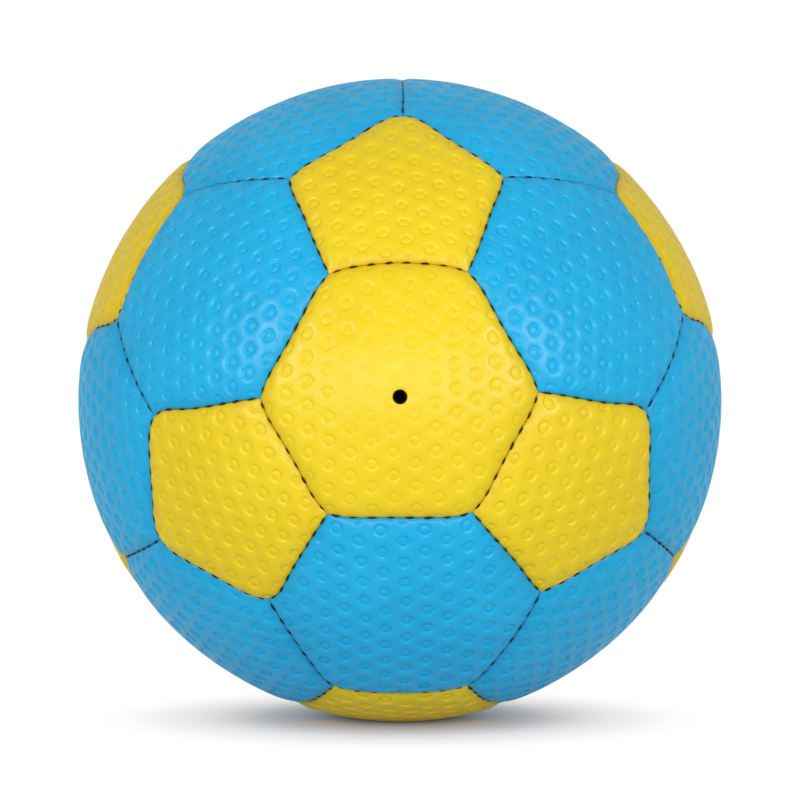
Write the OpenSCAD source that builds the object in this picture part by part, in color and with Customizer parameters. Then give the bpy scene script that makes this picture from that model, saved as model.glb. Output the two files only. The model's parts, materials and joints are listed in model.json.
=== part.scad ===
// Hand-sewn handball with 32 panels, a rubber bladder and a needle valve.
// Origin: centre of the ball. +Z is up and the valve looks along -Y.

/* [Ball] */
// Radius of the inflated ball over the crown of its panels
ball_r = 94; // [84:0.5:97]
// Thickness of the embossed outer skin
skin_t = 1.2; // [0.9:0.1:1.6]
// Thickness of the cloth and foam lining under the skin
lining_t = 2.2; // [1.6:0.1:2.8]
// Thickness of the skin where it is turned down into a seam
flange_t = 1.2; // [0.9:0.1:1.6]
// Layer of adhesive between the skin and its lining
glue_clearance = 0.15; // [0.1:0.05:0.25]
// Clearance between two panels where they meet in a seam
seam_clearance = 0.1; // [0.06:0.02:0.2]

/* [Seams] */
// Depth of the groove that two rolled panel edges leave along a seam
seam_depth = 1.3; // [1:0.1:1.6]
// Distance from the seam at which a panel's edge starts to roll down
seam_roll_w = 2; // [1.6:0.1:2.4]
// Angle between the crown of a panel and the start of its rolled edge
seam_roll_start = 6; // [4:1:10]

/* [Thread] */
// Diameter of the waxed thread
thread_d = 0.8; // [0.6:0.05:1]
// Length of thread that shows at each stitch
stitch_len = 2.2; // [1.8:0.1:2.6]
// Distance from one stitch to the next along a seam
stitch_pitch = 4.8; // [4.2:0.1:5.6]
// Length of the stretch over which a stitch thins towards the seam
stitch_taper = 0.35; // [0.2:0.05:0.5]
// Clearance between the thread and the rolled edges that hold it
thread_clearance = 0.05; // [0.03:0.01:0.08]

/* [Bladder] */
// Wall of the rubber bladder
bladder_t = 0.8; // [0.6:0.1:1.2]
// Clearance between the inflated bladder and the lining
bladder_clearance = 0.25; // [0.2:0.05:0.4]

/* [Valve] */
// Diameter of the hole in the valve panel's skin
valve_hole_d = 3.8; // [3:0.1:4.6]
// Depth of the bevel around that hole
valve_hole_bevel = 0.3; // [0.2:0.05:0.4]
// Diameter of the collar that rises through the lining
collar_d = 9; // [8:0.2:10]
// Diameter of the stem inside the bladder
stem_d = 8.4; // [7.6:0.2:9]
// Diameter of the flange bonded inside the bladder
valve_flange_d = 26; // [20:1:32]
// Thickness of that flange
valve_flange_t = 1.2; // [0.8:0.1:1.6]
// Diameter of the cloth patch behind the valve panel
patch_d = 34; // [30:1:42]
// Thickness of that patch
patch_t = 0.5; // [0.3:0.1:0.8]
// Clearance around the valve's collar and its patch
valve_clearance = 0.2; // [0.1:0.05:0.3]

/* [Valve plug] */
// Length of the replaceable rubber plug
plug_len = 14; // [12:0.5:18]
// Diameter of the plug's shank
plug_d = 4.8; // [4.4:0.1:5.2]
// Diameter of the plug's head
plug_head_d = 6.4; // [6:0.1:6.8]
// Thickness of the plug's head
plug_head_t = 1.4; // [1:0.1:1.8]
// Diameter of the ring that snaps into the stem
plug_ring_d = 5.8; // [5.4:0.1:6]
// Length of that ring along the plug
plug_ring_len = 1.4; // [1:0.1:1.8]
// Depth of that ring below the top of the plug
plug_ring_depth = 7; // [6:0.5:9]
// Clearance between the plug and the stem
plug_clearance = 0.1; // [0.05:0.05:0.15]
// Diameter of the passage for an inflating needle
needle_bore_d = 2.2; // [2:0.1:2.4]
// Depth of that passage, including its funnel
needle_bore_depth = 10.5; // [9:0.5:11]
// Diameter of the funnel at the mouth of the passage
needle_funnel_d = 3.2; // [2.8:0.1:3.6]
// Depth of that funnel
needle_funnel_depth = 0.8; // [0.5:0.1:1.1]

/* [Hidden] */
$fn = 120;
// One of the ball's 20 hexagons is the valve panel
hexagon_count = 19;
pentagon_count = 12;
function numbered(stem, count) = [for (i = [1:count]) str(stem, "_", i < 10 ? "0" : "", i)];
hexagon_names = numbered("hexagon_panel", hexagon_count);
pentagon_names = numbered("pentagon_panel", pentagon_count);

yellow_skin = [0.95, 0.82, 0.2];
blue_skin = [0.22, 0.68, 0.88];
lining_cloth = [0.86, 0.84, 0.78];
black_thread = [0.06, 0.06, 0.07];
bladder_rubber = [0.16, 0.15, 0.15];
valve_rubber = [0.1, 0.1, 0.11];
patch_cloth = [0.7, 0.68, 0.62];

// One overrun serves every cut
overrun = 1;
// Half the side of a block that is larger than the ball
reach = ball_r + overrun;

// Radii of the layers, from the outside in
skin_in_r = ball_r - skin_t;
lining_out_r = skin_in_r - glue_clearance;
cover_in_r = lining_out_r - lining_t;
bladder_out_r = cover_in_r - bladder_clearance;
bladder_in_r = bladder_out_r - bladder_t;
valve_flange_out_r = bladder_in_r - glue_clearance;
valve_flange_in_r = valve_flange_out_r - valve_flange_t;

// Distances of the panel's walls from the plane of a seam
seam_wall = seam_clearance / 2;
pocket_wall = seam_wall + flange_t;
lining_wall = pocket_wall + glue_clearance;

// The net is a truncated icosahedron, in which a hexagon always touches three
// pentagons and three hexagons. Its corners lie this many edges from its centre.
net_r_share = sqrt(58 + 18 * sqrt(5)) / 4;
golden = (1 + sqrt(5)) / 2;
hexagon_sides = 6;
pentagon_sides = 5;

// Angles seen from the ball's centre
function face_r_share(sides) = 1 / (2 * sin(180 / sides));
function apothem_share(sides) = 1 / (2 * tan(180 / sides));
function face_distance_share(sides) = sqrt(pow(net_r_share, 2) - pow(face_r_share(sides), 2));
function edge_angle(sides) = atan(apothem_share(sides) / face_distance_share(sides));
seam_angle = 2 * asin(1 / (2 * net_r_share));

// Where the rolled edge's arc leaves the panel's wall and where it meets the crown,
// each as [distance from the plane of the seam, distance from the ball's axis]
roll_low = [seam_wall, ball_r - seam_depth];
roll_high = [seam_wall + seam_roll_w, sqrt(pow(ball_r, 2) - pow(seam_wall + seam_roll_w, 2))];
roll_span = roll_high - roll_low;
roll_r = (roll_span * roll_span)
    / (2 * (roll_span.y * cos(seam_roll_start) - roll_span.x * sin(seam_roll_start)));
roll_centre = roll_high + roll_r * [sin(seam_roll_start), -cos(seam_roll_start)];
// Part of a turn that the roll runs beyond each end of its seam
roll_angle = seam_angle + 2 * asin(roll_r / ball_r);

// The thread lies between the two rolled edges of a seam and touches neither
thread_r = thread_d / 2;
thread_seat = roll_r + thread_r + thread_clearance;
thread_line_r = roll_centre.y + sqrt(pow(thread_seat, 2) - pow(roll_centre.x, 2));
seam_arc = ball_r * seam_angle * PI / 180;
stitches_per_seam = max(1, round(seam_arc / stitch_pitch));
stitch_angle = seam_angle / stitches_per_seam;
stitch_tip_r = thread_r / 2;

// Heights of the valve's pieces along its axis
collar_r = collar_d / 2;
collar_top = sqrt(pow(skin_in_r, 2) - pow(collar_r, 2)) - glue_clearance;
plug_bottom = collar_top - plug_len;
plug_ring_top = collar_top - plug_ring_depth;
plug_ring_bevel = (plug_ring_d - plug_d) / 2;

// Directions of the panels. The pentagons look along the corners of an icosahedron and
// the hexagons along the middles of its faces.
function turned(v) = [v, [v.y, v.z, v.x], [v.z, v.x, v.y]];
function unit(v) = v / norm(v);
raw_pentagons = [for (a = [-1, 1], b = [-1, 1]) each turned([0, a, b * golden])];
raw_hexagons = concat(
    [for (a = [-1, 1], b = [-1, 1], c = [-1, 1]) [a, b, c]],
    [for (a = [-1, 1], b = [-1, 1]) each turned([0, a * golden, b / golden])]
);

// Two directions or distances that differ by less than this share count as alike
alike_share = 0.001;

// The panel of the list that lies nearest to a direction
function nearest(v, list, i = 0, best = 0) =
    i == len(list) ? list[best]
    : nearest(v, list, i + 1, unit(list[i]) * v > unit(list[best]) * v + alike_share ? i : best);

// The whole net is turned so that one hexagon looks along -Y with a pentagon above it
net_front = unit(raw_hexagons[len(raw_hexagons) - 1]);
net_above = unit(nearest(net_front, raw_pentagons));
net_up = unit(net_above - (net_above * net_front) * net_front);
net_right = cross(net_up, net_front);
function in_ball(v) = [v * net_right, -v * net_front, v * net_up];

// Panels are numbered from the valve to the back, and clockwise at each distance
function clock(v) = (atan2(v.x, v.z) + 360 + alike_share) % 360;
function order(v) = 360 * round(v.y / alike_share) + clock(v);
function sorted(list) = len(list) <= 1 ? list : let (
    pivot = order(list[0]),
    before = [for (v = list) if (order(v) < pivot) v],
    after = [for (v = list) if (order(v) > pivot) v]
) concat(sorted(before), [list[0]], sorted(after));
pentagons = sorted([for (v = raw_pentagons) unit(in_ball(v))]);
hexagons = sorted([for (v = raw_hexagons) unit(in_ball(v))]);

// Two panels are neighbours when their directions are about as close as these angles
hexagon_step = 2 * edge_angle(hexagon_sides);
mixed_step = edge_angle(hexagon_sides) + edge_angle(pentagon_sides);
function meets(a, b, step) = abs(a * b - cos(step)) < alike_share;

// A seam is [direction of its middle, direction along it, directions of its two panels]
function seam(a, b, a_share) = let (
    along = unit(cross(a, b)),
    middle = unit(a * sin(acos(a * b) * (1 - a_share)) + b * sin(acos(a * b) * a_share))
) [middle, along, a, b];
mixed_share = edge_angle(hexagon_sides) / mixed_step;
seams = concat(
    [for (i = [0:len(hexagons) - 2], j = [i + 1:len(hexagons) - 1])
        if (meets(hexagons[i], hexagons[j], hexagon_step)) seam(hexagons[i], hexagons[j], 1 / 2)],
    [for (h = hexagons, p = pentagons) if (meets(h, p, mixed_step)) seam(h, p, mixed_share)]
);
// The cover is sewn as two halves of 16 panels, which one closing seam then joins
function halves_in_front(s) = (s[2].y < 0 ? 1 : 0) + (s[3].y < 0 ? 1 : 0);

// Puts a shape drawn around +Z on the ball: +Z to v, and +X as near as it can to toward
module facing(v, toward) {
    x = unit(toward - (toward * v) * v);
    y = cross(v, x);
    multmatrix([[x.x, y.x, v.x, 0], [x.y, y.y, v.y, 0], [x.z, y.z, v.z, 0]]) children();
}

// Puts a shape on one seam of a panel that is drawn around +Z: +X to the middle of the
// seam, +Y along it, and +Z across it towards the middle of the panel
module at_seam(sides, k) {
    rotate([0, 0, k * 360 / sides]) rotate([0, edge_angle(sides) - 90, 0]) children();
}

// The space between two radii, with its poles turned away from the panel
module shell(outer, inner) {
    rotate([90, 0, 0]) difference() {
        sphere(r = outer);
        sphere(r = inner);
    }
}

// The wedge of the ball under one panel, drawn in by wall from each seam's plane
module wedge(sides, wall) {
    difference() {
        translate([-reach, -reach, 0]) cube(2 * reach);
        for (k = [0:sides - 1]) {
            at_seam(sides, k) translate([-2 * reach, -2 * reach, wall - 4 * reach]) cube(4 * reach);
        }
    }
}

// What is cut away along one seam to leave the panel's edge rolled
module seam_roll() {
    rotate([0, 0, -roll_angle / 2]) rotate_extrude(angle = roll_angle) difference() {
        translate([roll_centre.y, -overrun]) square([roll_r + overrun, roll_centre.x + overrun]);
        translate([roll_centre.y, roll_centre.x]) circle(r = roll_r);
    }
}

// A panel's skin is a shallow tray: its rim is turned in and ends flush with the lining
module panel_skin(sides) {
    difference() {
        intersection() {
            shell(ball_r, cover_in_r);
            wedge(sides, seam_wall);
        }
        intersection() {
            rotate([90, 0, 0]) sphere(r = skin_in_r);
            wedge(sides, pocket_wall);
        }
        for (k = [0:sides - 1]) at_seam(sides, k) seam_roll();
    }
}

module panel_lining(sides) {
    intersection() {
        shell(lining_out_r, cover_in_r);
        wedge(sides, lining_wall);
    }
}

module hexagon_panel(i) {
    v = hexagons[i];
    opposite_valve = i == len(hexagons) - 1;
    color(opposite_valve ? yellow_skin : blue_skin)
        facing(v, nearest(v, pentagons)) panel_skin(hexagon_sides);
}

module pentagon_panel(i) {
    v = pentagons[i];
    color(yellow_skin) facing(v, nearest(v, hexagons)) panel_skin(pentagon_sides);
}

module valve_panel() {
    bevel_d = valve_hole_d + 2 * valve_hole_bevel;
    color(yellow_skin) facing(hexagons[0], nearest(hexagons[0], pentagons)) difference() {
        panel_skin(hexagon_sides);
        translate([0, 0, skin_in_r - overrun]) cylinder(d = valve_hole_d, h = skin_t + 2 * overrun);
        translate([0, 0, ball_r - valve_hole_bevel])
            cylinder(d1 = valve_hole_d, d2 = bevel_d + 2 * overrun, h = valve_hole_bevel + overrun);
    }
}

module valve_panel_lining() {
    hole_d = collar_d + 2 * valve_clearance;
    recess_r = cover_in_r + patch_t + glue_clearance;
    color(lining_cloth) facing(hexagons[0], nearest(hexagons[0], pentagons)) difference() {
        panel_lining(hexagon_sides);
        translate([0, 0, cover_in_r - overrun]) cylinder(d = hole_d, h = lining_t + 3 * overrun);
        intersection() {
            rotate([90, 0, 0]) sphere(r = recess_r);
            cylinder(d = patch_d + 2 * valve_clearance, h = reach);
        }
    }
}

module hexagon_linings() {
    color(lining_cloth) for (i = [1:hexagon_count]) {
        facing(hexagons[i], nearest(hexagons[i], pentagons)) panel_lining(hexagon_sides);
    }
}

module pentagon_linings() {
    color(lining_cloth) for (v = pentagons) {
        facing(v, nearest(v, hexagons)) panel_lining(pentagon_sides);
    }
}

// One visible stretch of thread, thinner at both ends where it dips into the seam
module stitch() {
    half = stitch_len / 2;
    rotate_extrude() polygon([
        [0, -half], [stitch_tip_r, -half], [thread_r, stitch_taper - half],
        [thread_r, half - stitch_taper], [stitch_tip_r, half], [0, half]
    ]);
}

module seam_stitches(s) {
    facing(s[0], s[1]) for (k = [0:stitches_per_seam - 1]) {
        rotate([0, (k + 1 / 2) * stitch_angle - seam_angle / 2, 0])
            translate([0, 0, thread_line_r]) rotate([0, 90, 0]) stitch();
    }
}

module front_half_thread() {
    color(black_thread) for (s = seams) if (halves_in_front(s) == 2) seam_stitches(s);
}

module rear_half_thread() {
    color(black_thread) for (s = seams) if (halves_in_front(s) == 0) seam_stitches(s);
}

module closing_seam_thread() {
    color(black_thread) for (s = seams) if (halves_in_front(s) == 1) seam_stitches(s);
}

module bladder() {
    color(bladder_rubber) difference() {
        sphere(r = bladder_out_r);
        sphere(r = bladder_in_r);
        rotate([90, 0, 0]) cylinder(d = collar_d + 2 * valve_clearance, h = reach);
    }
}

// Cloth disc glued into the lining, which keeps the valve's edge off the cover
module valve_patch() {
    color(patch_cloth) rotate([90, 0, 0]) intersection() {
        difference() {
            rotate([90, 0, 0]) sphere(r = cover_in_r + patch_t);
            rotate([90, 0, 0]) sphere(r = cover_in_r);
        }
        difference() {
            cylinder(d = patch_d, h = reach);
            cylinder(d = collar_d + 2 * valve_clearance, h = reach);
        }
    }
}

// Hollow left in the stem for the plug, wider than the plug by its clearance
module plug_shape(clearance) {
    head_r = plug_head_d / 2 + clearance;
    shank_r = plug_d / 2 + clearance;
    ring_r = plug_ring_d / 2 + clearance;
    head_bottom = collar_top - plug_head_t - clearance;
    ring_top = plug_ring_top + clearance;
    ring_bottom = plug_ring_top - plug_ring_len - clearance;
    top = collar_top + (clearance > 0 ? overrun : 0);
    bottom = plug_bottom - (clearance > 0 ? overrun : 0);
    rotate_extrude() polygon([
        [0, bottom], [shank_r, bottom], [shank_r, ring_bottom - plug_ring_bevel],
        [ring_r, ring_bottom], [ring_r, ring_top], [shank_r, ring_top + plug_ring_bevel],
        [shank_r, head_bottom], [head_r, head_bottom], [head_r, top], [0, top]
    ]);
}

// Flange, collar and stem are one moulding. The flange is bonded inside the bladder.
module valve_body() {
    color(valve_rubber) rotate([90, 0, 0]) difference() {
        union() {
            intersection() {
                rotate([90, 0, 0]) difference() {
                    sphere(r = valve_flange_out_r);
                    sphere(r = valve_flange_in_r);
                }
                cylinder(d = valve_flange_d, h = reach);
            }
            translate([0, 0, valve_flange_in_r]) cylinder(d = collar_d, h = collar_top - valve_flange_in_r);
            translate([0, 0, plug_bottom])
                cylinder(d = stem_d, h = valve_flange_in_r + valve_flange_t / 2 - plug_bottom);
        }
        plug_shape(plug_clearance);
    }
}

// The plug closes by itself. A needle passes through its funnel and its blind passage.
module valve_plug() {
    bore_r = needle_bore_d / 2;
    funnel_r = needle_funnel_d / 2;
    passage_bottom = collar_top - needle_bore_depth;
    funnel_bottom = collar_top - needle_funnel_depth;
    mouth = collar_top + overrun;
    color(valve_rubber) rotate([90, 0, 0]) difference() {
        plug_shape(0);
        rotate_extrude() polygon([
            [0, passage_bottom], [bore_r, passage_bottom], [bore_r, funnel_bottom],
            [funnel_r, collar_top], [funnel_r, mouth], [0, mouth]
        ]);
    }
}

valve_panel();
for (i = [1:hexagon_count]) {
    hexagon_panel(i);
}
for (i = [1:pentagon_count]) {
    pentagon_panel(i - 1);
}
valve_panel_lining();
hexagon_linings();
pentagon_linings();
front_half_thread();
rear_half_thread();
closing_seam_thread();
bladder();
valve_patch();
valve_body();
valve_plug();
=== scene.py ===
# %% [markdown]
# # A hand-sewn handball
#
# The ball is a cover of 32 panels, 20 hexagons and 12 pentagons, sewn together over a
# rubber bladder. The panels are synthetic leather, pressed all over with a pattern of
# small rings. Black waxed thread pulls their edges down into grooves.
#
# This script dresses the packed CAD model of the ball. It works in metres, in the frame
# of that model: the ball's centre is the origin, Z is up and the valve looks along -Y.

# %% Load the frame
import json
import math
import random
from itertools import combinations

import bpy
import numpy as np
from mathutils import Matrix, Vector
from mathutils.geometry import delaunay_2d_cdt

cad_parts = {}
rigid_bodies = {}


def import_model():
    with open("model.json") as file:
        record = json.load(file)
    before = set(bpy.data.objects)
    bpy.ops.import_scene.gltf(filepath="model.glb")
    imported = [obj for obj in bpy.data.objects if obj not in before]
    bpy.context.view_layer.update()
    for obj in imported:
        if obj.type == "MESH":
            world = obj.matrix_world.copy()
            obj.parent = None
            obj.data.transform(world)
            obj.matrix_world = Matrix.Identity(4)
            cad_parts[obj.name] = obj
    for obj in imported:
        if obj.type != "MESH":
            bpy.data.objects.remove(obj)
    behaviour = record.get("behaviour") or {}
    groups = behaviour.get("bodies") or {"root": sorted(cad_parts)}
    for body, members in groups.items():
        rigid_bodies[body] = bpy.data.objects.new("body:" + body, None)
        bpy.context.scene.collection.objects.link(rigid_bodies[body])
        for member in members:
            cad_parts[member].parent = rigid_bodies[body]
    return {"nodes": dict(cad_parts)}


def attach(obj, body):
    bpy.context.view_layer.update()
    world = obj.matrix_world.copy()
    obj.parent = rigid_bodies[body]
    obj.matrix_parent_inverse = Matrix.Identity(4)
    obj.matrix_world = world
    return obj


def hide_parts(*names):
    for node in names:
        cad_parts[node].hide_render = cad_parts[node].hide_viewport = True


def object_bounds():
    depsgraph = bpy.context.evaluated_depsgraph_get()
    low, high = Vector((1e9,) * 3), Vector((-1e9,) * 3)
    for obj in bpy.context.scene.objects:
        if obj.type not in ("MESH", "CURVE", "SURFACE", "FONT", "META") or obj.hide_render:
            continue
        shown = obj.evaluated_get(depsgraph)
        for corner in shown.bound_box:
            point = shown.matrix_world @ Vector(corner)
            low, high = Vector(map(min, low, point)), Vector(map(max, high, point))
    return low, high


for leftover in list(bpy.data.objects):
    bpy.data.objects.remove(leftover)
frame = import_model()
cad_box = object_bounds()
nodes = frame["nodes"]
mm = 0.001
ball_r = round(-cad_box[0].z, 5)
print(f"The frame holds {len(nodes)} nodes of a ball with radius {ball_r / mm:.1f} mm")

# %% [markdown]
# ## Where the panels look
#
# A panel is regular, so the middle of its surface lies on the line from the ball's centre
# through the middle of the panel. That line is read from the CAD node itself. It could
# also be worked out from the golden ratio, but then two sources would have to agree.
#
# Each panel gets its own axes: right and up as seen from outside, and out of the ball.

# %% Find the axes of each panel
def looking_at(node):
    """The direction in which a panel's node looks."""
    mesh = node.data
    area = np.zeros(len(mesh.polygons))
    mesh.polygons.foreach_get("area", area)
    middle = np.zeros(3 * len(mesh.polygons))
    mesh.polygons.foreach_get("center", middle)
    return Vector(area @ middle.reshape(-1, 3)).normalized()


panel_names = ["valve_panel"]
panel_names += sorted(n for n in nodes if n.startswith(("hexagon_panel", "pentagon_panel")))
outward = {name: looking_at(nodes[name]) for name in panel_names}


class Panel:
    """A panel's number of sides, its axes, and the turn of its first edge from right."""

    def __init__(self, name):
        self.name = name
        self.sides = 5 if name.startswith("pentagon") else 6
        out = outward[name]
        up = (Vector((0, 0, 1)) - out.z * out).normalized()
        self.turned = Matrix((up.cross(out), up, out)).transposed()
        others = [v for other, v in outward.items() if other[0] == "p" and self.sides == 6]
        others = others or [v for other, v in outward.items() if other[0] != "p"]
        neighbour = self.turned.transposed() @ max(others, key=out.dot)
        self.first_turn = math.atan2(neighbour.y, neighbour.x)


panels = [Panel(name) for name in panel_names]
hexagon_count = sum(p.sides == 6 for p in panels)
print("Hexagons:", hexagon_count, "and pentagons:", len(panels) - hexagon_count)

# %% [markdown]
# ## The angles of a panel
#
# The net is a truncated icosahedron, the best known way to close a ball with hexagons and
# pentagons. All its edges are equally long, so two angles describe a panel: the one from
# its middle to the middle of an edge, and the one that an edge spans.

# %% Work out the angles of a panel
net_r = math.sqrt(58 + 18 * math.sqrt(5)) / 4  # centre of the net to a corner, in edge lengths
seam_angle = 2 * math.asin(1 / (2 * net_r))
seam_length = ball_r * seam_angle
stitch_pitch = 4.8 * mm  # from one stitch to the next
stitches_per_seam = round(seam_length / stitch_pitch)


def edge_angle(sides):
    """Angle at the ball's centre from the middle of a panel to the middle of its edge."""
    corner = 1 / (2 * math.sin(math.pi / sides))
    apothem = 1 / (2 * math.tan(math.pi / sides))
    return math.atan(apothem / math.sqrt(net_r**2 - corner**2))


def edge_directions(panel):
    """For each edge, in the panel's axes: to its middle, along it and inwards across it."""
    e = edge_angle(panel.sides)
    a = panel.first_turn + 2 * math.pi * np.arange(panel.sides) / panel.sides
    x, y, flat = np.cos(a), np.sin(a), np.ones(panel.sides)
    middle = np.column_stack((math.sin(e) * x, math.sin(e) * y, math.cos(e) * flat))
    along = np.column_stack((-y, x, 0 * flat))
    inward = np.column_stack((-math.cos(e) * x, -math.cos(e) * y, math.sin(e) * flat))
    return middle, along, inward


print(f"A seam is {seam_length / mm:.1f} mm long and holds {stitches_per_seam} stitches")

# %% [markdown]
# ## A flat sheet that fits the ball
#
# A panel starts as a flat sheet. Distances and directions from its middle are the same on
# the sheet as on the ball, so the rings pressed into it stay round.

# %% Turn directions on the ball into places on the sheet, and back
tiny = 1e-12  # keeps the middle of a sheet from dividing by zero


def from_middle(places):
    """Distance of each place from the middle of its sheet."""
    return np.hypot(places[:, 0], places[:, 1])


def flatten(directions):
    """Places on the sheet for directions from the ball's centre."""
    across = from_middle(directions)
    stretch = ball_r * np.arctan2(across, directions[:, 2]) / np.maximum(across, tiny)
    return directions[:, :2] * stretch[:, None]


def on_ball(places):
    """Directions from the ball's centre for places on the sheet."""
    far = from_middle(places)
    across = places * (np.sin(far / ball_r) / np.maximum(far, tiny))[:, None]
    return np.column_stack((across, np.cos(far / ball_r)))


there = np.array([[30 * mm, 0.0]])
print("A place 30 mm from the middle comes back to", np.round(flatten(on_ball(there)) / mm, 6))


# %% [markdown]
# Near its edge the sheet gets rows of points that follow the seams, close together where
# the leather rolls down. A square grid that is cut off at the edge would leave the roll
# ragged.

# %% Follow the edge of a panel at a distance from its seams
def border_row(panel, gap, per_edge):
    """Places along all edges of a panel, gap away from the seams."""
    middle, along, inward = edge_directions(panel)
    e, half_side = edge_angle(panel.sides), math.pi / panel.sides
    lift = math.sin(gap / ball_r)
    slope = math.cos(e) * math.cos(half_side)
    corner = math.acos(lift / math.hypot(math.sin(e), slope)) - math.atan2(slope, math.sin(e))
    sideways = math.sin(corner) * math.sin(half_side)
    ahead = math.sin(corner) * math.cos(half_side) * math.sin(e) + math.cos(corner) * math.cos(e)
    turn = math.atan2(sideways, ahead) * (2 * np.arange(per_edge)[:, None] / per_edge - 1)
    level = math.cos(gap / ball_r)
    rows = [
        lift * inward[k] + level * (np.cos(turn) * middle[k] + np.sin(turn) * along[k])
        for k in range(panel.sides)
    ]
    return flatten(np.concatenate(rows))


def seam_distances(panel, places):
    """Distance to the nearest seam and to the second, and the place along it in stitches."""
    middle, along, inward = edge_directions(panel)
    directions = on_ball(places)
    gaps = ball_r * np.arcsin(directions @ inward.T)
    order = np.argsort(gaps, axis=1)
    rows = np.arange(len(places))
    first, second = order[:, 0], order[:, 1]
    run = np.arctan2((directions * along[first]).sum(1), (directions * middle[first]).sum(1))
    stitch = (run / seam_angle + 0.5) * stitches_per_seam
    return gaps[rows, first], gaps[rows, second], stitch


corner_r = from_middle(border_row(panels[0], 0.0, 1)).max()
print(f"The corners of a hexagon are {corner_r / mm:.1f} mm from its middle")


# %% [markdown]
# ## The pressed rings
#
# The rings stand in a triangular pattern. Panels are punched out of a long roll of
# leather, so the pattern is turned and shifted on each of them. Those that face the
# camera have the turn seen in the photograph. The hidden ones get one from a fixed seed.

# %% Place the rings on a panel
ring_r = 2.2 * mm  # reach of a ring with the soft shoulder around it
# Points that shape a ring stand in circles around its middle, as (radius in mm, how many)
ring_circles = [
    (0, 1), (0.5, 8), (0.85, 14), (1.15, 18), (1.38, 20),
    (1.54, 20), (1.7, 22), (1.88, 22), (2.2, 18),
]
pattern_rows = np.arange(-16, 17)
pattern_reach = 0.45 * ball_r  # past the corners of a panel
# On a panel out of sight: the distance between rings, and the most that they are shifted
# and lean, in degrees
hidden_pitch, hidden_shift, hidden_lean = 6.6 * mm, 6 * mm, 12
# For each panel in sight: distance between its rings, lean of its columns to the left in
# degrees, and one ring's place to the right of the panel's middle and above it
seen_patterns = {
    "valve_panel": (6.55 * mm, 1.2, 3.4 * mm, 8.0 * mm),
    "hexagon_panel_01": (6.52 * mm, -8.1, 1.6 * mm, 2.3 * mm),
    "hexagon_panel_02": (6.58 * mm, 0.3, 0.6 * mm, 1.2 * mm),
    "hexagon_panel_03": (6.57 * mm, 6.1, 0.5 * mm, 2.9 * mm),
    "pentagon_panel_01": (6.83 * mm, 7.1, -0.2 * mm, 0.5 * mm),
    "pentagon_panel_02": (6.97 * mm, -11.1, 0.8 * mm, 5.2 * mm),
    "pentagon_panel_03": (6.76 * mm, 12.8, 1.8 * mm, 6.3 * mm),
}


def circle(r, count, shift=0.0):
    """Places on a circle around the middle of a sheet."""
    a = 2 * math.pi * (np.arange(count) + shift) / count
    return r * np.column_stack((np.cos(a), np.sin(a)))


def ring_centres(panel, chance):
    """Centres of the rings on a panel's sheet, and the distance between them."""
    some_lean = chance.uniform(-hidden_lean, hidden_lean)
    some_right, some_above = chance.uniform(0, hidden_shift), chance.uniform(0, hidden_shift)
    hidden = (hidden_pitch, some_lean, some_right, some_above)
    pitch, lean, right, above = seen_patterns.get(panel.name, hidden)
    i, j = (grid.ravel()[:, None] for grid in np.meshgrid(pattern_rows, pattern_rows))
    column, diagonal = math.radians(90 + lean), math.radians(30 + lean)
    centres = pitch * i * np.array([[math.cos(column), math.sin(column)]])
    centres = centres + pitch * j * np.array([[math.cos(diagonal), math.sin(diagonal)]])
    centres = centres + np.array([[right, above]])
    return centres[from_middle(centres) < pattern_reach], pitch


def nearest_distance(places, centres):
    """Distance of each place from the nearest centre."""
    gaps = places[:, None, :] - centres[None, :, :]
    return np.sqrt((gaps**2).sum(2)).min(1)


print("Points that shape one ring:", sum(count for _, count in ring_circles))

# %% [markdown]
# ## The outer face as a mesh
#
# A Delaunay triangulation joins the points. It needs no grid, so they can stand where the
# shape needs them: in rows along the seams and in circles around each ring.

# %% Lay out the outer face of a panel
edge_gap = 0.05 * mm  # half the clearance between two panels
border_gaps = [gap * mm for gap in (0.13, 0.26, 0.45, 0.7, 1, 1.4, 1.85, 2.4)]
edge_points = 72  # along one edge, nine for each stitch
hole_r = 1.9 * mm
hole_steps = [step * mm for step in (0, 0.08, 0.2, 0.4, 0.8)]
hole_points = 36
seam_band = 1.5 * mm  # nearer to a seam its rows set the points, and further off the rings
hole_slack = 0.995  # triangles along the edge of a hole cut its corners a little


def join(places):
    """Places and triangles of a sheet, and the new number of each place given."""
    given = [Vector(p) for p in places / mm]
    made, _, faces, origin, _, _ = delaunay_2d_cdt(given, [], [], 0, 1e-5, True)
    moved = {old: new for new, olds in enumerate(origin) for old in olds}
    return np.array([v[:] for v in made]) * mm, [tuple(f) for f in faces], moved


def outside_hole(faces, places, r):
    """The triangles of a sheet that aren't in the round hole in its middle."""
    return [f for f in faces if np.hypot(*places[list(f)].mean(0)) > hole_slack * r]


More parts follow.
